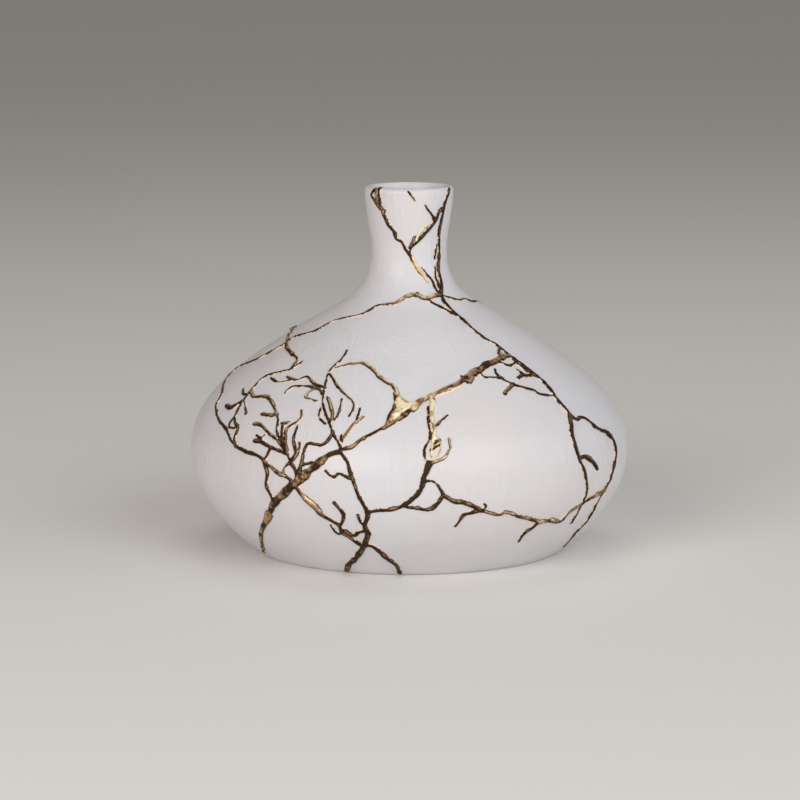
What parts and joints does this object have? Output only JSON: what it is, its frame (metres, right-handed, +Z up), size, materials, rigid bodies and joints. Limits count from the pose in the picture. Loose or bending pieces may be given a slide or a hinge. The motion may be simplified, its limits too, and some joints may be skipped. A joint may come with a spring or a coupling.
{
  "type": "kintsugi vase",
  "caption": "Squat round ceramic bottle vase with a narrow flared neck, mended with a raised network of gold lacquer seams.",
  "frame": {"origin": "centre of the underside of the foot ring, on the surface that the vase stands on", "axes": "+Z up along the vase's turning axis, -Y towards the front with the densest seams, +X to the right as seen from the front"},
  "size_m": [0.2, 0.2015, 0.1655],
  "materials": {
    "porcelain": "satin white with a pale pinkish lavender tint",
    "gold_lacquer": "brownish gold lacquer, dark along its edges, with pale polished crests in places"
  },
  "bodies": {
    "root": {"vase_body": "porcelain", "gold_seams": "gold_lacquer"}
  },
  "joints": []
}
